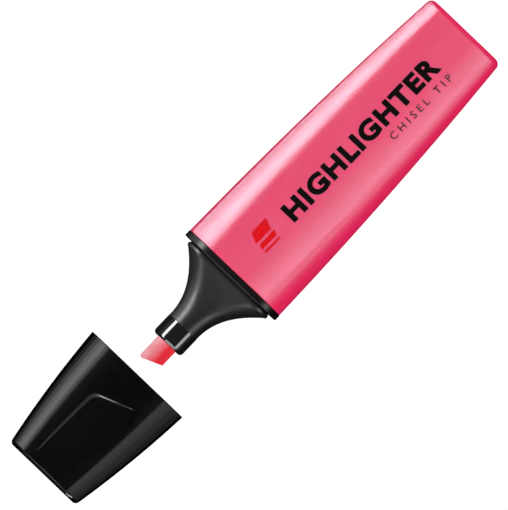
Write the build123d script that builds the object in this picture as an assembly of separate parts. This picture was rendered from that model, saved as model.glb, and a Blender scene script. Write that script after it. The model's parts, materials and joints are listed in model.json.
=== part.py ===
"""A chisel-nib highlighter with its cap pulled off: barrel, front section, nib, reservoir and cap.

Every length is in millimetres. The pieces are drawn on the pen's own axis: x = 0 is the flange face that
the cap seats on, +X runs to the nib, Y is across the width and Z through the thickness. The cap's pieces
are drawn seated and then pulled off along +X. At the end the whole pen is turned by the taper of its
back, so that the barrel's flat back lies on Z = 0.
"""

from build123d import *
import math
import os

# Outside of the barrel
BARREL_MOUTH = -1.5  # where the barrel meets the flange
BARREL_REAR = -74.1
MOUTH_HALF_WIDTH = 13.4
MOUTH_HALF_THICKNESS = 8.48
MOUTH_CORNER = 6.25  # radius of the long edges at the mouth
REAR_CORNER = 3.1  # radius of the long edges at the rear
SIDE_SLOPE = 0.007  # the sides lean in by this much at the mouth
SIDE_RADIUS = 1020.0  # and bow in on this radius
FACE_TAPER = 0.93  # degrees that the front and the back each lean in
REAR_ROUNDING = 1.3
MOUTH_CHAMFER = 0.15

# Inside of the barrel
BARREL_WALL = 1.3
REAR_WALL = 1.5
RIB = 1.0  # thickness of every rib
BARREL_RIB_Y = 4.5  # where the ribs of the broad walls stand
BARREL_RIB_FRONT = -12.0
RIB_ROOT = 0.5  # how far a rib reaches into its wall

# Front section
FLANGE = (13.5, 8.5, 6.3)  # half width, half thickness and corner radius
FLANGE_EDGE = 0.2
LIP_INSET = 1.7  # step from the flange down to the bead that the cap closes over
NECK_INSET = 1.95
BEAD_START = 0.3
BEAD_END = 1.15
BEAD_EDGE = 0.3
SHOULDER_START = 1.1
SHOULDER_END = 14.8
SHOULDER_BASE = (11.6, 6.7, 4.6)
SHOULDER_TIP = (4.0, 4.0, 3.9)
WIDTH_POWER = 2.2  # how sharply the sides of the shoulder sweep out
THICKNESS_POWER = 1.6
NOZZLE_RADIUS = 4.05
NOZZLE_END = 19.9
NOZZLE_ROUNDING = 0.85
SKIRT_REAR = -9.5
SKIRT_WALL = 1.1
SKIRT_GAP = 0.03
SNAP_X = -5.5  # middle of the snap ridge on the skirt
SNAP_HEIGHT = 0.2
SNAP_LENGTH = 1.0
SHOULDER_WALL = 1.3
SHOULDER_HOLLOW_END = 9.0
NIB_TUBE = (3.6, 3.2, 2.7)
NIB_TUBE_REAR = 2.0
VENT_WIDTH = 0.9
VENT_HALF_HEIGHT = 2.65
STOP_RIB_Y = 6.5
STOP_RIB_REAR = -2.4

# Nib
NIB = (2.6, 2.2, 2.05)
NIB_REAR = -9.0
NIB_REAR_CHAMFER = 0.8
NIB_SIDE_FRONT = (24.1, 2.3)  # ends of the writing edge, x and y
NIB_SIDE_TIP = (25.9, -2.0)
NIB_CORNER = (25.5, -2.6)  # where the cut-back corner meets the side
NIB_EDGE_HALF = 0.3  # half thickness of the writing edge
NIB_FACET = 36.0  # degrees between each chisel facet and the pen's middle plane
NIB_GAP = 0.02

# Reservoir
RESERVOIR = (8.9, 5.1, 4.9)
RESERVOIR_FRONT = -3.0
RESERVOIR_REAR = -68.0
FILM = 0.2
FILM_OVERHANG = 0.4
RIB_GAP = 0.05

# Cap
CAP_OFF = 29.1  # how far the cap is pulled off
CAP_LENGTH = 29.8
CAP_MOUTH = (13.5, 8.5, 6.3)
CAP_SIDE_SLOPE = 0.0633
CAP_SIDE_RADIUS = 244.0
CAP_FACE_SLOPE = 0.045
CAP_FACE_RADIUS = 333.0
CAP_CORNER_SLOPE = 0.105
CAP_WALL = 1.5
CAP_END_ROUNDING = 0.9
CAP_MOUTH_EDGE = 0.2
CAP_RIB_Y = 6.0
CAP_RIB_START = 5.0
CAP_RIB_HEIGHT = 0.6
FACET_CORNER = (9.7, -3.8)  # distance from the mouth and y of the facet's deepest corner
FACET_UPPER_END = (5.6, 6.2)  # here and at the lower end it meets the surface
FACET_LOWER_END = (27.4, -4.4)
FACET_DEPTH = 0.35
FACET_CORNER_RADIUS = 2.8
FACET_REACH = 1.2  # the cutting plane runs on past both ends to this share of their distance
FACET_WALL = 45  # degrees

# Inner cap
SLEEVE_MOUTH = 15.2
SLEEVE_BORE = NOZZLE_RADIUS + 0.05
SLEEVE_RADIUS = 5.0
SLEEVE_SEAT = 20.2
SLEEVE_NECK = 22.5
CHAMBER_RADIUS = 3.3
CHAMBER_END = 26.9
SLEEVE_PLUG = 4.1
SLEEVE_LEAD = 0.4  # chamfer at the sleeve's mouth
SOCKET_START = 25.8
SOCKET_RADIUS = 4.9

SPAN = 60.0  # larger than any cross-section
LOFT_STEPS = 4


def section(x, half_width, half_thickness, corner):
    """A rounded rectangle across the axis at x."""
    plane = Plane(origin=(x, 0, 0), x_dir=(0, 1, 0), z_dir=(1, 0, 0))
    return plane * RectangleRounded(2 * half_width, 2 * half_thickness, corner)


def inset(sizes, depth):
    """Half width, half thickness and corner radius, all smaller by depth."""
    return [size - depth for size in sizes]


def bar(start, end, sizes):
    """A straight bar of one rounded section from start to end."""
    return extrude(section(start, *sizes), end - start)


def axis_cylinder(start, end, radius):
    """A cylinder on the pen's axis."""
    return Plane(origin=(start, 0, 0), z_dir=(1, 0, 0)) * extrude(Circle(radius), end - start)


def barrel_sizes(x):
    """Half width, half thickness and corner radius of the barrel at x."""
    run = BARREL_MOUTH - x
    width = MOUTH_HALF_WIDTH - SIDE_SLOPE * run - run**2 / (2 * SIDE_RADIUS)
    thickness = MOUTH_HALF_THICKNESS - math.tan(math.radians(FACE_TAPER)) * run
    corner = MOUTH_CORNER - (MOUTH_CORNER - REAR_CORNER) * run / (BARREL_MOUTH - BARREL_REAR)
    return width, thickness, corner


def shoulder_sizes(x):
    """Half width, half thickness and corner radius of the shoulder at x."""
    share = (SHOULDER_END - x) / (SHOULDER_END - SHOULDER_START)
    powers = (WIDTH_POWER, THICKNESS_POWER, 1)
    return [tip + (base - tip) * share**p for base, tip, p in zip(SHOULDER_BASE, SHOULDER_TIP, powers)]


def cap_sizes(x):
    """Half width, half thickness and corner radius of the cap at x from its mouth."""
    width = CAP_MOUTH[0] - CAP_SIDE_SLOPE * x - x**2 / (2 * CAP_SIDE_RADIUS)
    thickness = CAP_MOUTH[1] - CAP_FACE_SLOPE * x - x**2 / (2 * CAP_FACE_RADIUS)
    return width, thickness, CAP_MOUTH[2] - CAP_CORNER_SLOPE * x


def tapered(start, end, sizes, depth=0.0, steps=LOFT_STEPS):
    """A solid through the sections that sizes gives between start and end, all inset by depth."""
    places = [start + (end - start) * i / steps for i in range(steps + 1)]
    return loft([section(x, *inset(sizes(x), depth)) for x in places])


def flat_faced(solid):
    """The same lofted solid, with its front and back faces made true planes."""
    faces = solid.faces().sort_by(Axis.Z)
    planes = [Face(face.outer_wire()) for face in (faces[0], faces[-1])]
    return Solid(Shell(faces[1:-1] + planes))


def edges_at(solid, x):
    """The edges of a solid that lie in the plane at x."""
    return solid.edges().filter_by_position(Axis.X, x - 0.01, x + 0.01)


def plate(start, end, y):
    """A thin wall across the thickness, from start to end along the pen, centred on y."""
    return Pos((start + end) / 2, y, 0) * Box(end - start, RIB, SPAN)


def flat_plate(start, end):
    """A thin wall across the width, in the middle plane."""
    return Pos((start + end) / 2, 0, 0) * Box(end - start, SPAN, RIB)


def barrel():
    """The closed-ended body, with ribs that hold the reservoir and a groove that the skirt snaps into."""
    outside = flat_faced(tapered(BARREL_REAR, BARREL_MOUTH, barrel_sizes))
    outside = fillet(edges_at(outside, BARREL_REAR), REAR_ROUNDING)
    outside = chamfer(edges_at(outside, BARREL_MOUTH), MOUTH_CHAMFER)
    floor = BARREL_REAR + REAR_WALL
    hollow = tapered(floor, BARREL_MOUTH, barrel_sizes, BARREL_WALL)
    groove_end = SNAP_X - SNAP_LENGTH / 2 - SKIRT_GAP
    groove_sizes = inset(barrel_sizes(SNAP_X), BARREL_WALL - SNAP_HEIGHT)
    groove = bar(groove_end, SNAP_X + SNAP_LENGTH / 2 + SKIRT_GAP, groove_sizes)

    wall_roots = tapered(BARREL_REAR, BARREL_MOUTH, barrel_sizes, BARREL_WALL - RIB_ROOT)
    film_space = bar(RESERVOIR_REAR - FILM_OVERHANG, BARREL_RIB_FRONT, inset(RESERVOIR, -FILM - RIB_GAP))
    plates = [plate(floor - RIB_ROOT, BARREL_RIB_FRONT, y) for y in (-BARREL_RIB_Y, BARREL_RIB_Y)]
    plates.append(flat_plate(floor - RIB_ROOT, BARREL_RIB_FRONT))
    body = outside - hollow - groove
    for rib in plates:
        body += (rib & wall_roots) - film_space
    return body


def front_section():
    """The moulding that plugs into the barrel, seats the cap and grips the nib."""
    skirt_depth = BARREL_WALL + SKIRT_GAP
    skirt = tapered(SKIRT_REAR, BARREL_MOUTH, barrel_sizes, skirt_depth, 1)
    snap_sizes = inset(barrel_sizes(SNAP_X), skirt_depth - SNAP_HEIGHT)
    snap = bar(SNAP_X - SNAP_LENGTH / 2, SNAP_X + SNAP_LENGTH / 2, snap_sizes)
    flange = bar(BARREL_MOUTH, 0, FLANGE)
    flange = fillet(edges_at(flange, 0) + edges_at(flange, BARREL_MOUTH), FLANGE_EDGE)
    neck = bar(0, BEAD_START + BEAD_EDGE, inset(FLANGE, NECK_INSET))
    bead = bar(BEAD_START, BEAD_END, inset(FLANGE, LIP_INSET))
    bead = fillet(edges_at(bead, BEAD_START) + edges_at(bead, BEAD_END), BEAD_EDGE)
    shoulder = tapered(SHOULDER_START, SHOULDER_END, shoulder_sizes, steps=8)
    nozzle = axis_cylinder(SHOULDER_END, NOZZLE_END, NOZZLE_RADIUS)
    nozzle = fillet(edges_at(nozzle, NOZZLE_END), NOZZLE_ROUNDING)
    body = skirt + snap + flange + neck + bead + shoulder + nozzle

    skirt_hollow = tapered(SKIRT_REAR, BARREL_MOUTH, barrel_sizes, skirt_depth + SKIRT_WALL, 1)
    throat = bar(BARREL_MOUTH, SHOULDER_START, inset(shoulder_sizes(SHOULDER_START), SHOULDER_WALL))
    shoulder_hollow = tapered(SHOULDER_START, SHOULDER_HOLLOW_END, shoulder_sizes, SHOULDER_WALL)
    hollow = skirt_hollow + throat + shoulder_hollow
    body -= hollow
    body += bar(NIB_TUBE_REAR, SHOULDER_HOLLOW_END + RIB, NIB_TUBE)
    for y in (-STOP_RIB_Y, STOP_RIB_Y):
        body += plate(STOP_RIB_REAR, SHOULDER_START, y) & bar(STOP_RIB_REAR, SHOULDER_START, inset(FLANGE, 2.5))
    body -= bar(NIB_TUBE_REAR, NOZZLE_END, inset(NIB, -NIB_GAP))
    vent = Box(NOZZLE_END - NIB_TUBE_REAR, VENT_WIDTH, 2 * VENT_HALF_HEIGHT)
    return body - Pos((NOZZLE_END + NIB_TUBE_REAR) / 2, 0, 0) * vent


def nib():
    """A fibre rod cut to a slanted chisel, with a pointed rear end inside the reservoir."""
    rod = bar(NIB_REAR, NIB_SIDE_TIP[0] + 1, NIB)
    rod = chamfer(edges_at(rod, NIB_REAR), NIB_REAR_CHAMFER)
    edge = Vector(*NIB_SIDE_TIP) - Vector(*NIB_SIDE_FRONT)
    outward = edge.rotate(Axis.Z, 90).normalized()
    for side in (-1, 1):
        lean = math.radians(NIB_FACET)
        normal = outward * math.sin(lean) + Vector(0, 0, side * math.cos(lean))
        corner = Vector(*NIB_SIDE_TIP, side * NIB_EDGE_HALF)
        rod = split(rod, Plane(origin=corner, z_dir=normal), keep=Keep.BOTTOM)
    rod = split(rod, Plane(origin=Vector(*NIB_SIDE_TIP), z_dir=outward), keep=Keep.BOTTOM)
    cut_back = (Vector(*NIB_SIDE_TIP) - Vector(*NIB_CORNER)).rotate(Axis.Z, -90)
    return split(rod, Plane(origin=Vector(*NIB_CORNER), z_dir=cut_back), keep=Keep.BOTTOM)


def reservoir_core():
    """The ink-soaked fibre block, with a pocket for the nib's rear end."""
    pocket = bar(NIB_REAR, RESERVOIR_FRONT, inset(NIB, -NIB_GAP))
    return bar(RESERVOIR_REAR, RESERVOIR_FRONT, RESERVOIR) - pocket


def reservoir_film():
    """The film sleeve round the reservoir, open at both ends."""
    ends = (RESERVOIR_REAR - FILM_OVERHANG, RESERVOIR_FRONT + FILM_OVERHANG)
    return bar(*ends, inset(RESERVOIR, -FILM)) - bar(*ends, RESERVOIR)


def facet_cutter():
    """The tool that sinks a flat facet into the cap's front, deepest at its corner."""
    corner, upper, lower = [
        Vector(x, y, cap_sizes(x)[1] - depth)
        for (x, y), depth in ((FACET_CORNER, FACET_DEPTH), (FACET_UPPER_END, 0), (FACET_LOWER_END, 0))
    ]
    along = (lower - corner) * FACET_REACH
    across = (upper - corner) * FACET_REACH
    outline = Polyline(corner, corner + along, corner + along + across, corner + across, close=True)
    face = Face(Wire(outline.edges()))
    tip = face.vertices().sort_by_distance(corner)[0]
    face = face.fillet_2d(FACET_CORNER_RADIUS, [tip])
    return extrude(face, amount=3, dir=along.cross(across), taper=-FACET_WALL)


def cap_shell():
    """The outer cap: a tapered cup with guide ribs and a socket for the inner cap."""
    outside = tapered(0, CAP_LENGTH, cap_sizes)
    outside = fillet(edges_at(outside, CAP_LENGTH), CAP_END_ROUNDING)
    outside = fillet(edges_at(outside, 0), CAP_MOUTH_EDGE)
    end = CAP_LENGTH - CAP_WALL
    body = outside - facet_cutter() - tapered(0, end, cap_sizes, CAP_WALL)

    roots = tapered(CAP_RIB_START, end + RIB_ROOT, cap_sizes, CAP_WALL - RIB_ROOT)
    guides = tapered(CAP_RIB_START, end, cap_sizes, CAP_WALL + CAP_RIB_HEIGHT)
    for y in (-CAP_RIB_Y, CAP_RIB_Y):
        body += (plate(CAP_RIB_START, end, y) & roots) - guides
    body += (flat_plate(CAP_RIB_START, end) & roots) - guides
    socket = axis_cylinder(SOCKET_START, end, SOCKET_RADIUS) & roots
    return body + socket - axis_cylinder(SOCKET_START, end, SLEEVE_PLUG)


def inner_cap():
    """The sleeve that closes round the nozzle, with a chamber for the nib."""
    end = CAP_LENGTH - CAP_WALL
    outline = Polyline(
        (SLEEVE_MOUTH, SLEEVE_BORE + SLEEVE_LEAD),
        (SLEEVE_MOUTH + SLEEVE_LEAD, SLEEVE_BORE),
        (SLEEVE_SEAT, SLEEVE_BORE),
        (SLEEVE_SEAT, CHAMBER_RADIUS),
        (CHAMBER_END, CHAMBER_RADIUS),
        (CHAMBER_END, 0),
        (end, 0),
        (end, SLEEVE_PLUG),
        (SLEEVE_NECK + SLEEVE_RADIUS - SLEEVE_PLUG, SLEEVE_PLUG),
        (SLEEVE_NECK, SLEEVE_RADIUS),
        (SLEEVE_MOUTH, SLEEVE_RADIUS),
        close=True,
    )
    return revolve(make_face(outline), Axis.X)


def lie_on_back():
    """The move that lays the barrel's flat back on Z = 0, with its middle at the origin."""
    middle_x = (BARREL_MOUTH + BARREL_REAR) / 2
    middle = Vector(middle_x, 0, -barrel_sizes(middle_x)[1]).rotate(Axis.Y, -FACE_TAPER)
    return Location(-middle) * Rotation(0, -FACE_TAPER, 0)


def main():
    os.makedirs("parts", exist_ok=True)
    pen = {
        "barrel": barrel(),
        "front_section": front_section(),
        "nib": nib(),
        "reservoir_core": reservoir_core(),
        "reservoir_film": reservoir_film(),
    }
    cap = {"cap_shell": cap_shell(), "inner_cap": inner_cap()}
    place = lie_on_back()
    for name, piece in pen.items():
        export_step(place * piece, f"parts/{name}.step")
    for name, piece in cap.items():
        export_step(place * Pos(CAP_OFF, 0, 0) * piece, f"parts/{name}.step")


main()
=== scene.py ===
"""The looks of a chisel-nib highlighter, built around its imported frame.

New pieces are drawn in millimetres on the pen's own axis: x = 0 is the flange face that the cap seats on,
+X runs to the nib, Y is across the width and Z through the thickness. PEN and CAP place them in the
frame, in metres. Most pieces are lofts: a chain of rounded rectangles, each given as (x, half width,
half thickness, corner radius).
"""

import json
import math

import bmesh
import bpy
import numpy as np
from mathutils import Matrix, Vector


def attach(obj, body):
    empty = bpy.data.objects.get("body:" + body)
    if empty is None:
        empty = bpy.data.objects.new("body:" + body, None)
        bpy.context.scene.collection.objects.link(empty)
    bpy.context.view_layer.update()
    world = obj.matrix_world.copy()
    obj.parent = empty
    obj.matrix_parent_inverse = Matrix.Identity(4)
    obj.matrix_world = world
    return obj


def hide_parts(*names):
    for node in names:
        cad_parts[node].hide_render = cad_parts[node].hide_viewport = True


MM = 0.001

# Sizes are in millimetres where no comment says otherwise. Three together are half width, half thickness
# and corner radius, unless the name says what they are.

# Barrel
BARREL_MOUTH = -1.5
BARREL_REAR = -74.1
MOUTH_HALF = (13.4, 8.48, 6.25)
REAR_CORNER = 3.1
SIDE_SLOPE = 0.007
SIDE_RADIUS = 1020.0
FACE_TAPER = 0.93  # degrees
BARREL_WALL = 1.3
BARREL_EDGE = 0.15
REAR_WALL = 1.5
REAR_ROUNDING = 1.3
CROWN = (2.5, 0.0075)  # flat this far from the middle, then falls by this per square millimetre
CROWN_FADE = 6.0  # half thickness below which the fall fades out

# Front section
FLANGE = (13.5, 8.5, 6.3)
FLANGE_EDGE = 0.2
LIP_INSET = 1.7
NECK_INSET = 1.95
LIP_PROFILE = (  # (x, inset from the flange) from the shoulder over the lip to the flange's face
    (1.2, LIP_INSET + 0.25), (1.13, LIP_INSET + 0.08), (0.95, LIP_INSET), (0.5, LIP_INSET),
    (0.36, LIP_INSET + 0.08), (0.3, NECK_INSET), (0, NECK_INSET),
)
SHOULDER_START = 1.1
SHOULDER_END = 14.8
SHOULDER_BASE = (11.6, 6.7, 4.6)
SHOULDER_TIP = (4.0, 4.0, 3.9)
SHOULDER_POWERS = (2.2, 1.6, 1.0)
SHOULDER_WALL = 1.3
SHOULDER_HOLLOW_END = 9.0
NOZZLE_RADIUS = 4.05
NOZZLE_END = 19.9
NOZZLE_ROUNDING = 0.85
SEAM_GAP = 0.02  # between the matt shoulder and the polished nozzle
SEAM_EDGE = 0.03
SKIRT_REAR = -9.5
SKIRT_INSET = 1.33
SKIRT_WALL = 1.1
NIB_TUBE = (3.6, 3.2, 2.7)
NIB_TUBE_REAR = 2.0

# Nib
NIB = (2.6, 2.2, 2.05)
NIB_GAP = 0.02
NIB_REAR = -9.0
NIB_REAR_ROUNDING = 0.8
NIB_SIDE_FRONT = (24.1, 2.3)
NIB_SIDE_TIP = (25.9, -2.0)
NIB_CORNER = (25.5, -2.6)
NIB_EDGE_HALF = 0.3
NIB_FACET = 36.0  # degrees

# Cap
CAP_OFF = 29.1
CAP_LENGTH = 29.8
CAP_MOUTH = (13.5, 8.499, 5.3)
CAP_SLOPES = (0.0633, 0.045, 0.03)
CAP_RADII = (244.0, 333.0, 600.0)
CAP_CROWN = (3.0, 0.006)
CAP_WALL = 1.5
CAP_FLOOR = CAP_LENGTH - CAP_WALL
CAP_END_ROUNDING = 0.9
CAP_EDGE = 0.2
FACET_CORNER = (9.7, -3.8)
FACET_UPPER_END = (5.6, 6.2)
FACET_LOWER_END = (27.4, -4.4)
FACET_DEPTH = 0.35
FACET_BLEND = 1.7  # how widely the facet's corner is rounded
FACET_SLOPE = 0.7  # rise of the facet's walls
FACET_FOOT = 0.12  # how widely the foot of a wall is rounded
FACET_EDGE = 0.08  # how widely its upper edge is rounded
FACET_MARGIN = 0.5  # the cap's ends, which the facet leaves alone
SOCKET_START = 25.8
SOCKET_RADIUS = 4.45
SLEEVE_PLUG = 4.1
SLEEVE_MOUTH = 15.2
SLEEVE_BORE = 4.1
SLEEVE_RADIUS = 5.0
SLEEVE_SEAT = 20.2
SLEEVE_NECK = 22.5
SLEEVE_LEAD = 0.4
SLEEVE_EDGE = 0.15
CHAMBER_RADIUS = 3.3
CHAMBER_END = 26.9

# Print
PRINT_LIFT = 0.004
PRINT_THICKNESS = 0.02
STROKE_START = -9.0
STROKE_LENGTH = 4.6
STROKE_SLANT = 0.45  # share of a stroke's height

# Stage
LAMP_DISTANCE = 0.6  # metres
SOFTBOX_LENGTH = 1.2  # metres, for even light
BAND_LENGTH = 0.8  # metres, for the bands of a graded reflection
NIBWARDS, FRONTWARDS, BACKWARDS, REARWARDS = 0, 90, -90, 180  # round Z from +X, in degrees
BARREL_TINT = (0.5, 0.93, 1)
CAP_KEY_TINT = (0.93, 0.96, 1)
CAP_FILL_TINT = (0.95, 0.98, 1)
HORIZON_GLOW = (0.12, 0.125, 0.13, 1)
ZENITH_GLOW = (0.03, 0.03, 0.035, 1)
FLOOR_GLOW = 0.9
FLOOR_DROP = 0.00002  # metres from the frame's origin down to the table
FOCAL_LENGTH, SENSOR_WIDTH = 1200, 36
PEN_TURN = 46.3  # degrees from the picture's side to the pen's axis
VIEW_MIDDLE = (-7.17, 0.36, 0)
VIEW_WIDTH = 0.11083  # metres across the picture

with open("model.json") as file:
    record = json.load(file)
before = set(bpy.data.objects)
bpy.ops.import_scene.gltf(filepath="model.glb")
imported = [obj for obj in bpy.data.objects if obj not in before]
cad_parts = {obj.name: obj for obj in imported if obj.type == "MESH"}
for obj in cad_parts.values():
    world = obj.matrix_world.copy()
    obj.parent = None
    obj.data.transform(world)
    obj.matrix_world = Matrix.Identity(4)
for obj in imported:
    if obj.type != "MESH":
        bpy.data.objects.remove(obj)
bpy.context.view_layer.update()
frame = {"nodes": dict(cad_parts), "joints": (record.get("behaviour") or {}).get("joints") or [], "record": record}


def pen_matrix(shift=0.0):
    """Pen millimetres to frame metres, from the cap's slide axis and the middle of the rear end."""
    along = Vector(frame["joints"][0]["axis"]).normalized()
    across = Vector((0, 1, 0))
    up = along.cross(across)
    rear = next(m for m in frame["record"]["mounts"] if m["name"] == "rear_end")
    origin = Vector(rear["pos_m"]) + along * (shift - BARREL_REAR) * MM
    turn = Matrix((along, across, up)).transposed().to_4x4()
    return Matrix.Translation(origin) @ turn @ Matrix.Scale(MM, 4)


PEN = pen_matrix()
CAP = pen_matrix(CAP_OFF)
LIT_CENTRE = PEN @ Vector((-10, 0, 0))


# ---------------------------------------------------------------- sections

def barrel_sizes(x):
    run = BARREL_MOUTH - x
    width = MOUTH_HALF[0] - SIDE_SLOPE * run - run**2 / (2 * SIDE_RADIUS)
    thickness = MOUTH_HALF[1] - math.tan(math.radians(FACE_TAPER)) * run
    corner = MOUTH_HALF[2] - (MOUTH_HALF[2] - REAR_CORNER) * run / (BARREL_MOUTH - BARREL_REAR)
    return width, thickness, corner


def shoulder_sizes(x):
    share = (SHOULDER_END - x) / (SHOULDER_END - SHOULDER_START)
    return tuple(
        tip + (base - tip) * share**power
        for base, tip, power in zip(SHOULDER_BASE, SHOULDER_TIP, SHOULDER_POWERS)
    )


def cap_sizes(x):
    return tuple(
        mouth - slope * x - x**2 / (2 * radius)
        for mouth, slope, radius in zip(CAP_MOUTH, CAP_SLOPES, CAP_RADII)
    )


def inset(sizes, depth):
    return tuple(size - depth for size in sizes)


def station(x, sizes, depth=0.0):
    """One link of a loft's chain."""
    return (x, *inset(sizes, depth))


def run_of(sizes, start, end, count, depth=0.0):
    """Evenly spaced links from start to end, both included."""
    return [station(x, sizes(x), depth) for x in np.linspace(start, end, count)]


def rounding(x, sizes, radius, forward, steps):
    """Links round a convex end edge: from the side, radius before x, over to the end face at x."""
    links = []
    for turn in np.linspace(0, math.pi / 2, steps + 1):
        place = x - forward * radius * (1 - math.sin(turn))
        links.append(station(place, sizes(place), radius * (1 - math.cos(turn))))
    return links


def fall(y, crown=CROWN):
    """How far the crowned front lies below its middle, y from the middle."""
    start, rate = crown
    return rate * np.maximum(np.abs(y) - start, 0) ** 2


def crowned(points, crown=CROWN):
    """The ring of points with its front lowered by the crown's fall."""
    points = points.copy()
    points[:, 2] -= fall(points[:, 1], crown) * np.clip(points[:, 2] / CROWN_FADE, 0, 1)
    return points


def round_sizes(radius):
    """A round section is a square one with a corner of almost its half width."""
    return radius, radius, radius - 0.01


def round_link(x, radius):
    return station(x, round_sizes(radius))


def flange_sizes(_x):
    return FLANGE


def nozzle_sizes(_x):
    return round_sizes(NOZZLE_RADIUS)


def nib_sizes(_x):
    return NIB


NIB_BORE = inset(NIB, -NIB_GAP)


# ---------------------------------------------------------------- meshes

def ring_template(front, back=8, side=8, corner=12):
    """Each point of a rounded rectangle as (a, b, ny, nz), for ring().

    a and b run from -1 to 1 and place the point before the corner radius moves it along the normal n.
    front lists a across the front, and the counts are points on the other straights and steps at a corner.
    """
    front = np.asarray(front)
    back = np.linspace(-1, 1, back + 2)[1:-1]
    side = np.linspace(1, -1, side + 2)[1:-1]
    rows = []
    straights = (
        [(a, 1, 0, 1) for a in front],
        [(-1, b, -1, 0) for b in side],
        [(a, -1, 0, -1) for a in back],
        [(1, -b, 1, 0) for b in side],
    )
    centres = ((1, 1), (-1, 1), (-1, -1), (1, -1))
    for quarter, (centre, straight) in enumerate(zip(centres, straights)):
        for turn in (quarter + np.linspace(0, 1, corner + 1)) * math.pi / 2:
            rows.append((*centre, math.cos(turn), math.sin(turn)))
        rows += straight
    return np.array(rows)


def even(count):
    return np.linspace(1, -1, count + 2)[1:-1]


PLAIN_RING = ring_template(even(16))


def ring(template, link):
    x, width, thickness, corner = link
    a, b, ny, nz = template.T
    y = a * (width - corner) + corner * ny
    z = b * (thickness - corner) + corner * nz
    return np.column_stack([np.full(len(y), x), y, z])


def loft(name, links, place, template=PLAIN_RING, loop=False, shape=None):
    """A closed skin over the chain of links.

    A loop joins the last link to the first; otherwise both ends are flat. shape changes a ring of points.
    """
    rings = [ring(template, link) for link in links]
    if shape:
        rings = [shape(points) for points in rings]
    count = len(template)
    vertices = np.concatenate(rings)
    faces = []
    for i in range(len(rings) if loop else len(rings) - 1):
        here, there = i * count, (i + 1) % len(rings) * count
        for j in range(count):
            k = (j + 1) % count
            faces.append((here + j, here + k, there + k, there + j))
    if not loop:
        last = (len(rings) - 1) * count
        faces.append(tuple(range(count)))
        faces.append(tuple(range(last + count - 1, last - 1, -1)))
    return mesh_object(name, vertices, faces, place)


def mesh_object(name, vertices, faces, place, sharp=30.0):
    mesh = bpy.data.meshes.new(name)
    mesh.from_pydata([tuple(v) for v in vertices], [], faces)
    mesh.transform(place)
    return finished(name, mesh, sharp)


def finished(name, mesh, sharp=30.0):
    """A linked object with outward normals, smooth except across sharp edges."""
    work = bmesh.new()
    work.from_mesh(mesh)
    bmesh.ops.recalc_face_normals(work, faces=work.faces)
    work.to_mesh(mesh)
    work.free()
    mesh.shade_smooth()
    mesh.set_sharp_from_angle(angle=math.radians(sharp))
    obj = bpy.data.objects.new(name, mesh)
    bpy.context.scene.collection.objects.link(obj)
    return obj


def wear(obj, *materials):
    obj.data.materials.clear()
    for material in materials:
        obj.data.materials.append(material)


def dress(obj, body, slot, *materials, replaces=()):
    """Materials, the body that carries it and the nodes it stands for. slot, its record slot, is not used."""
    wear(obj, *materials)
    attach(obj, body)
    if replaces:
        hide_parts(*replaces)
    return obj


# ---------------------------------------------------------------- materials

class Finish:
    """A Principled material with helpers for noise-driven colour, roughness and bump."""

    def __init__(self, name, **constants):
        self.material = bpy.data.materials.new(name)
        self.material.use_nodes = True
        self.nodes = self.material.node_tree.nodes
        self.links = self.material.node_tree.links
        self.shader = self.nodes["Principled BSDF"]
        self.where = self.nodes.new("ShaderNodeTexCoord").outputs["Object"]
        for socket, value in constants.items():
            self.shader.inputs[socket.replace("_", " ")].default_value = value
        self.height = None

    def noise(self, scale, detail=2.0, stretch=(1, 1, 1), roughness=0.5):
        """Noise in millimetres: scale is the number of features in a millimetre."""
        mapping = self.nodes.new("ShaderNodeMapping")
        mapping.inputs["Scale"].default_value = [s / MM for s in stretch]
        self.links.new(self.where, mapping.inputs["Vector"])
        texture = self.nodes.new("ShaderNodeTexNoise")
        texture.inputs["Scale"].default_value = scale
        texture.inputs["Detail"].default_value = detail
        texture.inputs["Roughness"].default_value = roughness
        self.links.new(mapping.outputs["Vector"], texture.inputs["Vector"])
        return texture.outputs["Fac"]

    def spread(self, source, low, high, start=0.35, stop=0.65):
        """The source, from start to stop, as a value from low to high."""
        node = self.nodes.new("ShaderNodeMapRange")
        node.inputs["From Min"].default_value = start
        node.inputs["From Max"].default_value = stop
        node.inputs["To Min"].default_value = low
        node.inputs["To Max"].default_value = high
        self.links.new(source, node.inputs["Value"])
        return node.outputs["Result"]

    def blend(self, source, first, second):
        """A colour between first and second, or between two colour sockets."""
        node = self.nodes.new("ShaderNodeMix")
        node.data_type = "RGBA"
        self.links.new(source, node.inputs["Factor"])
        for socket, tone in ((node.inputs[6], first), (node.inputs[7], second)):
            if isinstance(tone, bpy.types.NodeSocket):
                self.links.new(tone, socket)
            else:
                socket.default_value = (*tone, 1)
        return node.outputs[2]

    def to(self, socket, source):
        self.links.new(source, self.shader.inputs[socket])

    def bump(self, source, distance):
        """Adds relief of that many millimetres, on top of any before it."""
        node = self.nodes.new("ShaderNodeBump")
        node.inputs["Distance"].default_value = distance * MM
        self.links.new(source, node.inputs["Height"])
        if self.height:
            self.links.new(self.height, node.inputs["Normal"])
        self.height = node.outputs["Normal"]
        self.links.new(self.height, self.shader.inputs["Normal"])


def colour(red, green, blue):
    """Linear colour from display values of 0 to 255."""
    def linear(v):
        v = v / 255
        return v / 12.92 if v <= 0.04045 else ((v + 0.055) / 1.055) ** 2.4
    return linear(red), linear(green), linear(blue)


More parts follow.
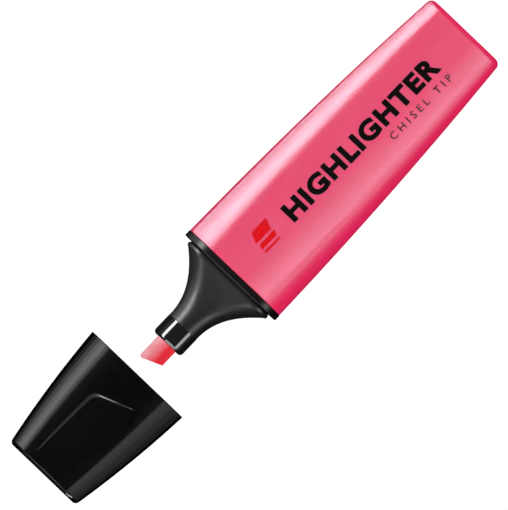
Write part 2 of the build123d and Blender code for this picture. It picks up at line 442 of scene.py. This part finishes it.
def pink_plastic():
    """Glossy polypropylene with faint flow marks and a very fine moulded texture."""
    finish = Finish(
        "pink_plastic", Subsurface_Weight=0.3, Subsurface_Scale=1.0 * MM, Specular_IOR_Level=0.5,
        Coat_Weight=0.5, Coat_Roughness=0.2,
    )
    finish.shader.inputs["Subsurface Radius"].default_value = (1.5, 0.2, 0.3)
    flow = finish.spread(finish.noise(0.05, 3, stretch=(0.25, 1, 1)), 0, 1)
    finish.to("Base Color", finish.blend(flow, colour(238, 25, 90), colour(240, 29, 94)))
    finish.to("Roughness", finish.spread(finish.noise(0.35, 4), 0.23, 0.27))
    finish.bump(finish.noise(0.12, 2), 0.003)
    finish.bump(finish.noise(6, 2), 0.0008)
    return finish.material


def black_plastic(name, roughness, grain, fineness, low=(9, 10, 11), high=(13, 14, 15), **constants):
    """Black plastic with a range of roughness and tone, and a grain in mm with so many features in a mm."""
    finish = Finish(name, **constants)
    cloud = finish.spread(finish.noise(0.12, 3), 0, 1)
    finish.to("Base Color", finish.blend(cloud, colour(*low), colour(*high)))
    finish.to("Roughness", finish.spread(finish.noise(0.5, 4), *roughness))
    finish.bump(finish.noise(fineness, 3), grain)
    return finish.material


def fibre(name, pale, deep, scale=7.0, painted_light_y=(-3.0, 3.0)):
    """Bonded fibres along the pen, with painted light: paler towards the lit -Y side, deeper on the shaded +Y
    side, across a span of y in mm.
    """
    finish = Finish(
        name, Roughness=0.75, Sheen_Weight=0.1, Sheen_Roughness=0.5, Subsurface_Weight=0.15,
        Subsurface_Scale=0.3 * MM,
    )
    strands = finish.noise(scale, 4, stretch=(0.12, 1, 1), roughness=0.7)
    blots = finish.noise(0.9, 3)
    split = finish.nodes.new("ShaderNodeSeparateXYZ")
    finish.links.new(finish.where, split.inputs["Vector"])
    # Painted light: tone graded across y, paler on the lit -Y side and deeper on the shaded +Y side.
    depth = finish.spread(split.outputs["Y"], 0, 1, painted_light_y[0] * MM, painted_light_y[1] * MM)
    streaked = finish.blend(finish.spread(strands, 0, 0.45), pale, deep)
    mixed = finish.blend(finish.spread(blots, 0, 0.3, 0.4, 0.7), streaked, deep)
    finish.to("Base Color", finish.blend(depth, mixed, deep))
    finish.bump(strands, 0.04)
    finish.bump(finish.noise(14, 2), 0.02)
    return finish.material


def film():
    """Thin milky film with a slight haze."""
    finish = Finish("film", Roughness=0.3)
    haze = finish.noise(0.2, 3)
    finish.to("Base Color", finish.blend(haze, colour(236, 200, 210), colour(244, 228, 232)))
    finish.bump(haze, 0.03)
    return finish.material


def ink(name, tone):
    """Screen-printed ink, slightly rougher than the plastic under it."""
    finish = Finish(name, Specular_IOR_Level=0.15)
    dither = finish.noise(3, 3)
    darker = tuple(v * 0.9 for v in tone)
    finish.to("Base Color", finish.blend(finish.spread(dither, 0, 1), tone, darker))
    finish.to("Roughness", finish.spread(dither, 0.4, 0.55))
    finish.bump(dither, 0.002)
    return finish.material


# ---------------------------------------------------------------- pieces

def build_barrel(material):
    floor = BARREL_REAR + REAR_WALL
    links = run_of(barrel_sizes, floor, BARREL_MOUTH, 12, BARREL_WALL)
    links.append(station(BARREL_MOUTH, barrel_sizes(BARREL_MOUTH), BARREL_EDGE))
    links.append(station(BARREL_MOUTH - 0.06, barrel_sizes(BARREL_MOUTH), 0.04))
    links += run_of(barrel_sizes, BARREL_MOUTH - BARREL_EDGE, BARREL_REAR + REAR_ROUNDING + 0.5, 48)
    links += rounding(BARREL_REAR, barrel_sizes, REAR_ROUNDING, -1, 10)
    obj = loft("barrel_body", links, PEN, shape=crowned)
    return dress(obj, "pen", "barrel_plastic", material, replaces=["barrel"])


def front_links():
    """The closed profile behind the nozzle, as (material index, link), from the bore round to the bore."""
    end = SHOULDER_END - SEAM_GAP
    matt = [station(end, NIB_BORE), station(end, nozzle_sizes(end), SEAM_EDGE)]
    matt += run_of(shoulder_sizes, end - 0.05, SHOULDER_START + 0.15, 40)
    matt += [station(x, FLANGE, depth) for x, depth in LIP_PROFILE]
    satin = rounding(0, flange_sizes, FLANGE_EDGE, 1, 4)[::-1]
    satin += rounding(BARREL_MOUTH, flange_sizes, FLANGE_EDGE, -1, 4)
    satin += run_of(barrel_sizes, BARREL_MOUTH, SKIRT_REAR, 5, SKIRT_INSET)
    satin += run_of(barrel_sizes, SKIRT_REAR, BARREL_MOUTH, 5, SKIRT_INSET + SKIRT_WALL)
    satin += run_of(shoulder_sizes, SHOULDER_START, SHOULDER_HOLLOW_END, 12, SHOULDER_WALL)
    satin += [station(SHOULDER_HOLLOW_END, NIB_TUBE), station(NIB_TUBE_REAR, NIB_TUBE)]
    satin += [station(NIB_TUBE_REAR, NIB_BORE)]
    return [(index, link) for index, group in enumerate((matt, satin)) for link in group]


def crown_flange(points):
    """Only the flange and what lies behind it is crowned."""
    return crowned(points) if points[0, 0] <= 0 else points


def build_front_section(matt, satin):
    chain = front_links()
    obj = loft("front_body", [link for _, link in chain], PEN, loop=True, shape=crown_flange)
    dress(obj, "pen", "front_plastic", matt, satin, replaces=["front_section"])
    kinds = np.array([kind for kind, _ in chain])
    obj.data.polygons.foreach_set("material_index", np.repeat(kinds, len(PLAIN_RING)).astype(np.int32))
    return obj


def build_nozzle(material):
    """The polished end of the front section, round the nib."""
    chamfer = 0.1
    links = [station(SHOULDER_END, NIB_BORE), station(NOZZLE_END - chamfer, NIB_BORE)]
    links.append(station(NOZZLE_END, NIB_BORE, -chamfer))
    links += rounding(NOZZLE_END, nozzle_sizes, NOZZLE_ROUNDING, 1, 8)[::-1]
    links += run_of(nozzle_sizes, NOZZLE_END - NOZZLE_ROUNDING - 0.3, SHOULDER_END + SEAM_EDGE, 5)
    links.append(station(SHOULDER_END, nozzle_sizes(SHOULDER_END), SEAM_EDGE))
    obj = loft("front_nozzle", links, PEN, loop=True)
    return dress(obj, "pen", "front_plastic", material)


def facet_plane():
    """(c0, cx, cy) of the facet's plane z = c0 + cx x + cy y."""
    rows, heights = [], []
    for (x, y), depth in ((FACET_CORNER, FACET_DEPTH), (FACET_UPPER_END, 0), (FACET_LOWER_END, 0)):
        rows.append((1, x, y))
        heights.append(cap_sizes(x)[1] - depth)
    return np.linalg.solve(np.array(rows), np.array(heights))


def outside_leg(points, end):
    """Distance of each point outside the straight edge that runs from the facet's corner to end."""
    corner, end = np.array(FACET_CORNER), np.array(end)
    along = (end - corner) / np.linalg.norm(end - corner)
    normal = np.array((-along[1], along[0]))
    inside = np.array(FACET_LOWER_END) + np.array(FACET_UPPER_END) - 2 * corner
    if normal @ inside > 0:
        normal = -normal
    return (points - corner) @ normal


def smooth_max(a, b, width):
    """The larger of a and b, rounded where they differ by less than width."""
    overlap = np.maximum(width - np.abs(a - b), 0) / width
    return np.maximum(a, b) + overlap**2 * width / 4


def sink_facet(points):
    """Cuts the flat facet into the front of the cap, with a sloping wall along its two edges."""
    x, y, z = points.T
    c0, cx, cy = facet_plane()
    upper, lower = (outside_leg(points[:, :2], end) for end in (FACET_UPPER_END, FACET_LOWER_END))
    away = smooth_max(upper, lower, FACET_BLEND)
    tool = c0 + cx * x + cy * y + FACET_SLOPE * smooth_max(away, np.zeros_like(away), FACET_FOOT)
    sunk = -smooth_max(-z, -tool, FACET_EDGE)
    within = (z > 0) & (x > FACET_MARGIN) & (x < CAP_LENGTH - FACET_MARGIN)
    points = points.copy()
    points[:, 2] = np.where(within, np.minimum(z, sunk), z)
    return points


def steps(*spans):
    """Places along spans of (start, end, pitch)."""
    places = [np.arange(start, end, pitch) for start, end, pitch in spans]
    return np.concatenate([*places, [spans[-1][1]]])


def shape_cap(points):
    """Crowns the cap's outer rings and sinks the facet into them, and leaves its inner ones."""
    half_width = np.abs(points[:, 1]).max()
    is_outer = abs(half_width - cap_sizes(points[0, 0])[0]) < 0.01
    return sink_facet(crowned(points, CAP_CROWN)) if is_outer else points


def build_cap(material, inside):
    """The cap as a chain from the bottom of its sleeve socket, out over the mouth, to its closed end.

    The steps are finest where the facet's edges run.
    """
    across = -steps((-0.97, 0.45, 0.02), (0.45, 0.75, 0.011), (0.75, 0.97, 0.03))
    template = ring_template(across, back=20)
    inner = [round_link(CAP_FLOOR, SLEEVE_PLUG), round_link(SOCKET_START, SLEEVE_PLUG)]
    inner += [round_link(SOCKET_START, SOCKET_RADIUS), round_link(CAP_FLOOR, SOCKET_RADIUS)]
    inner += run_of(cap_sizes, CAP_FLOOR, 0, 20, CAP_WALL)
    outer = rounding(0, cap_sizes, CAP_EDGE, -1, 4)[::-1]
    places = steps((0.5, 5.5, 0.5), (5.5, 11.5, 0.06), (11.5, 26.5, 0.4), (26.5, CAP_LENGTH - 1.2, 0.5))
    outer += [station(x, cap_sizes(x)) for x in places]
    outer += rounding(CAP_LENGTH, cap_sizes, CAP_END_ROUNDING, 1, 10)
    kinds = [1] * len(inner) + [0] * (len(outer) - 1)
    obj = loft("cap_body", inner + outer, CAP, template, shape=shape_cap)
    dress(obj, "cap", "cap_plastic", material, inside, replaces=["cap_shell"])
    indices = np.concatenate([np.repeat(kinds, len(template)), [1, 0]]).astype(np.int32)
    obj.data.polygons.foreach_set("material_index", indices)
    return obj


def build_inner_cap(material):
    neck = SLEEVE_NECK + SLEEVE_RADIUS - SLEEVE_PLUG
    profile = [
        (CHAMBER_END, CHAMBER_RADIUS), (SLEEVE_SEAT, CHAMBER_RADIUS), (SLEEVE_SEAT, SLEEVE_BORE),
        (SLEEVE_MOUTH + SLEEVE_LEAD, SLEEVE_BORE), (SLEEVE_MOUTH, SLEEVE_BORE + SLEEVE_LEAD),
        (SLEEVE_MOUTH, SLEEVE_RADIUS - SLEEVE_EDGE), (SLEEVE_MOUTH + SLEEVE_EDGE, SLEEVE_RADIUS),
        (SLEEVE_NECK, SLEEVE_RADIUS), (neck, SLEEVE_PLUG), (CAP_FLOOR, SLEEVE_PLUG),
    ]
    obj = loft("sealing_sleeve", [round_link(x, radius) for x, radius in profile], CAP)
    return dress(obj, "cap", "inner_cap_plastic", material, replaces=["inner_cap"])


def build_nib(skin, cut):
    """A fibre rod cut by two chisel facets, a blunt writing edge and a cut-back corner."""
    links = rounding(NIB_REAR, nib_sizes, NIB_REAR_ROUNDING, -1, 4)[::-1]
    links += [station(x, NIB) for x in np.linspace(NIB_REAR + 1, NIB_SIDE_TIP[0] + 1, 40)]
    obj = loft("nib_chisel", links, Matrix.Identity(4))
    work = bmesh.new()
    work.from_mesh(obj.data)
    tip, corner = Vector((*NIB_SIDE_TIP, 0)), Vector((*NIB_CORNER, 0))
    edge = tip - Vector((*NIB_SIDE_FRONT, 0))
    outward = Vector((-edge.y, edge.x, 0)).normalized()
    lean = math.radians(NIB_FACET)
    cuts = [(tip, outward)]
    for side in (-1, 1):
        normal = outward * math.sin(lean) + Vector((0, 0, side * math.cos(lean)))
        cuts.append((Vector((*NIB_SIDE_TIP, side * NIB_EDGE_HALF)), normal))
    back = tip - corner
    cuts.append((corner, Vector((back.y, -back.x, 0)).normalized()))
    for point, normal in cuts:
        geometry = work.verts[:] + work.edges[:] + work.faces[:]
        plane = {"plane_co": point, "plane_no": normal, "clear_outer": True}
        cut_edges = bmesh.ops.bisect_plane(work, geom=geometry, **plane)
        rim = [e for e in cut_edges["geom_cut"] if isinstance(e, bmesh.types.BMEdge)]
        filled = bmesh.ops.contextual_create(work, geom=rim)
        for face in filled["faces"]:
            face.material_index = 1
    work.to_mesh(obj.data)
    work.free()
    obj.data.transform(PEN)
    obj.data.set_sharp_from_angle(angle=math.radians(25))
    return dress(obj, "pen", "nib_fibre", skin, cut, replaces=["nib"])


# ---------------------------------------------------------------- print on the barrel

def face_matrix(x, y):
    """A place on the barrel's flat front, for print that reads from the collar to the rear."""
    lean = math.radians(FACE_TAPER)
    right = Vector((-math.cos(lean), 0, -math.sin(lean)))
    up = Vector((0, -1, 0))
    turn = Matrix((right, up, right.cross(up))).transposed().to_4x4()
    return PEN @ Matrix.Translation((x, y, barrel_sizes(x)[1] + PRINT_LIFT)) @ turn


def settle(mesh):
    """Lowers flat print onto the crowned front."""
    for vertex in mesh.vertices:
        vertex.co.z -= float(fall(vertex.co.y / MM)) * MM


def lettering(name, words, x, y, length, height, weight, spacing, material):
    """Printed words, length by height millimetres, whose lower left corner is at x, y."""
    curve = bpy.data.curves.new(name, "FONT")
    curve.body = words
    curve.offset = weight
    curve.space_character = spacing
    curve.extrude = 0.004  # any depth does, as it is scaled below
    curve.resolution_u = 6
    source = bpy.data.objects.new(name + "_source", curve)
    bpy.context.scene.collection.objects.link(source)
    bpy.context.view_layer.update()
    mesh = bpy.data.meshes.new_from_object(source.evaluated_get(bpy.context.evaluated_depsgraph_get()))
    bpy.data.objects.remove(source)
    corners = np.array([v.co for v in mesh.vertices])
    low, high = corners.min(0), corners.max(0)
    size = high - low
    scale = Matrix.Diagonal((length / size[0], height / size[1], PRINT_THICKNESS / size[2], 1))
    mesh.transform(face_matrix(x, y) @ scale @ Matrix.Translation(-Vector(low)))
    settle(mesh)
    return dress(finished(name, mesh, 20), "pen", "front_plastic", material)


def stroke(name, y, height, material):
    """A printed sample of a pen stroke, with slanted ends like the nib's."""
    slant = height * STROKE_SLANT
    outline = [(0, 0), (STROKE_LENGTH, 0), (STROKE_LENGTH + slant, height), (slant, height)]
    top = [(px, py, PRINT_THICKNESS) for px, py in outline]
    bottom = [(px, py, 0) for px, py in outline]
    faces = [(0, 1, 2, 3), (7, 6, 5, 4)]
    faces += [(i, i + 4, (i + 1) % 4 + 4, (i + 1) % 4) for i in range(4)]
    obj = mesh_object(name, top + bottom, faces, face_matrix(STROKE_START, y), 20)
    settle(obj.data)
    return dress(obj, "pen", "front_plastic", material)


# ---------------------------------------------------------------- stage

def build_floor():
    """A table that glows white and hardly takes a shadow. It neither lights nor shades the pen."""
    finish = Finish("pale_floor", Roughness=0.9, Specular_IOR_Level=0.1, Emission_Strength=FLOOR_GLOW)
    finish.shader.inputs["Emission Color"].default_value = (1, 1, 1, 1)
    cloud = finish.noise(0.004, 2)
    finish.to("Base Color", finish.blend(cloud, (0.55, 0.55, 0.55), (0.57, 0.57, 0.57)))
    finish.bump(finish.noise(0.3, 2), 0.01)
    bpy.ops.mesh.primitive_plane_add(size=12, location=(0, 0, -FLOOR_DROP))
    floor = bpy.context.object
    floor.name = "floor"
    floor.data.materials.append(finish.material)
    floor.visible_diffuse = False
    floor.visible_glossy = False
    floor.visible_shadow = False
    return floor


def softbox(name, lit, around, start, stop, length, radiance, matt=True, gloss=True, tint=(1, 1, 1)):
    """A softbox seen from the pen between start and stop degrees from overhead.

    It lights the lit pieces and nothing else, and only they shade one another from it. One that isn't matt
    only shows as a reflection, and one that isn't gloss shows in none. Its length is in metres.
    """
    width = 2 * LAMP_DISTANCE * math.tan(math.radians((stop - start) / 2))
    data = bpy.data.lights.new(name, "AREA")
    data.shape = "RECTANGLE"
    data.size, data.size_y = width, length
    data.energy = radiance * math.pi * length * width
    data.color = tint
    lamp = bpy.data.objects.new(name, data)
    bpy.context.scene.collection.objects.link(lamp)
    turn = Matrix.Rotation(math.radians(around), 4, "Z")
    tilt = Matrix.Rotation(math.radians((start + stop) / 2), 4, "Y")
    away = Matrix.Translation((0, 0, LAMP_DISTANCE))
    lamp.matrix_world = Matrix.Translation(LIT_CENTRE) @ turn @ tilt @ away
    lamp.visible_camera = False
    lamp.visible_diffuse = matt
    lamp.visible_glossy = gloss
    group = bpy.data.collections.new(name + "_lit")
    for piece in lit:
        group.objects.link(piece)
    lamp.light_linking.receiver_collection = group
    lamp.light_linking.blocker_collection = group


def light_evenly(name, lit, radiance):
    """Even light from above, from below and from all round."""
    softbox(name + "_top", lit, FRONTWARDS, -45, 45, SOFTBOX_LENGTH, radiance, gloss=False)
    softbox(name + "_low", lit, FRONTWARDS, 135, 225, SOFTBOX_LENGTH, radiance, gloss=False)
    for around in (FRONTWARDS, BACKWARDS, NIBWARDS, REARWARDS):
        softbox(f"{name}_{around}", lit, around, 45, 135, SOFTBOX_LENGTH, radiance, gloss=False)


def graded(name, lit, around, tint, *bands):
    """A softbox that only shows as a reflection, made of bands of (start, stop, radiance)."""
    for number, (start, stop, radiance) in enumerate(bands, 1):
        softbox(f"{name}_{number}", lit, around, start, stop, BAND_LENGTH, radiance, matt=False, tint=tint)


def light_studio(barrel, coloured, front, nozzle, nib, cap, floor):
    """Lamps for each list of pieces.

    The barrel, the front section, its nozzle and the cap have a strong key on the -Y side and a weaker fill
    on the +Y side.
    """
    light_evenly("colour", barrel + coloured, 0.88)
    light_evenly("nib", nib, 0.88)
    graded("barrel_veil", barrel, FRONTWARDS, BARREL_TINT, (-10, 5, 0.7))
    graded(
        "barrel_key", barrel, BACKWARDS, BARREL_TINT,
        (14, 26, 5.0), (26, 42, 9.0), (42, 72, 11.0), (72, 96, 7.4), (96, 126, 3.6),
    )
    graded("barrel_fill", barrel, FRONTWARDS, BARREL_TINT, (5, 36, 4.1), (36, 64, 2.3), (64, 84, 0.4))
    softbox("front_key", front, BACKWARDS, 39, 62, 1.1, 6.3)
    softbox("front_low_key", front, BACKWARDS, 62, 112, 1.1, 0.6)
    softbox("front_fill", front, FRONTWARDS, 48, 72, 1.1, 1.75)
    softbox("front_end", front, NIBWARDS, 45, 95, 0.4, 1.8)
    softbox("nozzle_key", nozzle, BACKWARDS, 45, 64, 1.1, 7.8)
    softbox("nozzle_fill", nozzle, FRONTWARDS, 51, 71, 1.1, 2.7)
    softbox("nozzle_rim", nozzle, NIBWARDS + 12, 28, 105, 0.6, 2.2)
    graded(
        "cap_key", cap, BACKWARDS, CAP_KEY_TINT,
        (8, 16, 0.5), (16, 30, 1.9), (30, 54, 3.5), (54, 72, 2.6), (72, 94, 1.1), (94, 115, 0.25),
    )
    graded(
        "cap_fill", cap, FRONTWARDS, CAP_FILL_TINT,
        (10, 34, 1.0), (34, 56, 0.8), (56, 74, 0.45), (74, 94, 0.33), (94, 120, 0.18),
    )
    softbox("cap_facet", cap, NIBWARDS + 27, 68, 84, 0.39, 12.0, matt=False)
    softbox("cap_end", cap, NIBWARDS, 34, 44, 0.8, 3.0, matt=False)
    softbox("table_light", floor, NIBWARDS, -45, 45, SOFTBOX_LENGTH, 0.5)


def build_world():
    """A dim dome, dark below the horizon, for the pieces. The camera sees a pale background instead."""
    world = bpy.data.worlds.new("studio")
    bpy.context.scene.world = world
    world.use_nodes = True
    nodes, links = world.node_tree.nodes, world.node_tree.links
    where = nodes.new("ShaderNodeTexCoord").outputs["Generated"]
    split = nodes.new("ShaderNodeSeparateXYZ")
    links.new(where, split.inputs["Vector"])
    height = nodes.new("ShaderNodeMapRange")
    height.inputs["From Min"].default_value = -1
    links.new(split.outputs["Z"], height.inputs["Value"])
    dome = nodes.new("ShaderNodeValToRGB")
    links.new(height.outputs["Result"], dome.inputs["Fac"])
    ramp = dome.color_ramp
    ramp.elements[0].position, ramp.elements[0].color = 0.47, (0, 0, 0, 1)
    ramp.elements[1].position, ramp.elements[1].color = 0.53, HORIZON_GLOW
    ramp.elements.new(0.9).color = ZENITH_GLOW
    seen = nodes.new("ShaderNodeMix")
    seen.data_type = "RGBA"
    links.new(nodes.new("ShaderNodeLightPath").outputs["Is Camera Ray"], seen.inputs["Factor"])
    links.new(dome.outputs["Color"], seen.inputs[6])
    seen.inputs[7].default_value = (FLOOR_GLOW, FLOOR_GLOW, FLOOR_GLOW, 1)
    links.new(seen.outputs[2], nodes["Background"].inputs["Color"])


def build_camera():
    """A long lens straight above the pen, turned so that the nib points to the lower left."""
    data = bpy.data.cameras.new("camera")
    data.lens = FOCAL_LENGTH
    data.sensor_width = SENSOR_WIDTH
    data.clip_start, data.clip_end = 0.01, 50
    camera = bpy.data.objects.new("camera", data)
    bpy.context.scene.collection.objects.link(camera)
    turn = math.radians(PEN_TURN)
    right = Vector((-math.cos(turn), math.sin(turn), 0))
    up = Vector((-math.sin(turn), -math.cos(turn), 0))
    aim = Matrix((right, up, right.cross(up))).transposed().to_4x4()
    distance = FOCAL_LENGTH / SENSOR_WIDTH * VIEW_WIDTH
    middle = PEN @ Vector(VIEW_MIDDLE)
    camera.matrix_world = Matrix.Translation(middle) @ aim @ Matrix.Translation((0, 0, distance))
    bpy.context.scene.camera = camera
    bpy.context.scene.view_settings.view_transform = "Standard"


def main():
    pink = pink_plastic()
    polished = black_plastic(
        "polished_black", (0.06, 0.1), 0.001, 1.0, (22, 22, 23), (26, 26, 27),
        Specular_IOR_Level=1.0, Coat_Weight=1.0, Coat_Roughness=0.05,
    )
    glossy = black_plastic(
        "glossy_black", (0.15, 0.17), 0.002, 2.0, (13, 15, 14), (15, 17, 16), Specular_IOR_Level=0.5,
    )
    satin = black_plastic("satin_black", (0.28, 0.32), 0.004, 4.0, Specular_IOR_Level=0.7)
    matt = black_plastic(
        "matt_black", (0.32, 0.36), 0.006, 7.0, (29, 29, 30), (35, 35, 36), Specular_IOR_Level=0.9,
    )
    plain = black_plastic("plain_black", (0.35, 0.45), 0.006, 3.0)
    # Painted light in the nib's tone: paler on the lit -Y side, deeper on the shaded +Y side.
    nib_skin = fibre("nib_skin", colour(255, 195, 205), colour(240, 6, 40), painted_light_y=(-2.0, 1.0))
    # The cut facets' material is darker than the skin's: partly the open fibre ends of a cut face, partly painted
    # shade where the facets turn away from the light.
    nib_cut = fibre("nib_cut", colour(246, 128, 136), colour(234, 44, 62), painted_light_y=(-1.8, 1.9))
    reservoir = fibre("reservoir_fibre", colour(250, 150, 180), colour(235, 60, 110), scale=3.0)
    black_ink = ink("black_ink", colour(16, 12, 13))
    red_ink = ink("red_ink", colour(236, 2, 18))

    barrel = build_barrel(pink)
    front = build_front_section(matt, satin)
    nozzle = build_nozzle(polished)
    cap = build_cap(glossy, plain)
    sleeve = build_inner_cap(plain)
    nib = build_nib(nib_skin, nib_cut)
    inside = [frame["nodes"][node] for node in ("reservoir_core", "reservoir_film")]
    for piece, material in zip(inside, (reservoir, film())):
        wear(piece, material)
    prints = [
        lettering("print_name", "HIGHLIGHTER", -18.2, 2.0, 46.3, 4.6, 0.05, 1.15, black_ink),
        lettering("print_tip", "CHISEL TIP", -46.0, 5.2, 18.6, 1.7, 0.005, 1.6, black_ink),
        stroke("print_stroke_wide", -0.9, 2.5, red_ink),
        stroke("print_stroke_middle", 0.9, 1.2, red_ink),
        stroke("print_stroke_fine", 2.0, 0.5, red_ink),
    ]
    light_studio([barrel], prints + inside, [front], [nozzle], [nib], [cap, sleeve], [build_floor()])
    build_world()
    build_camera()


main()
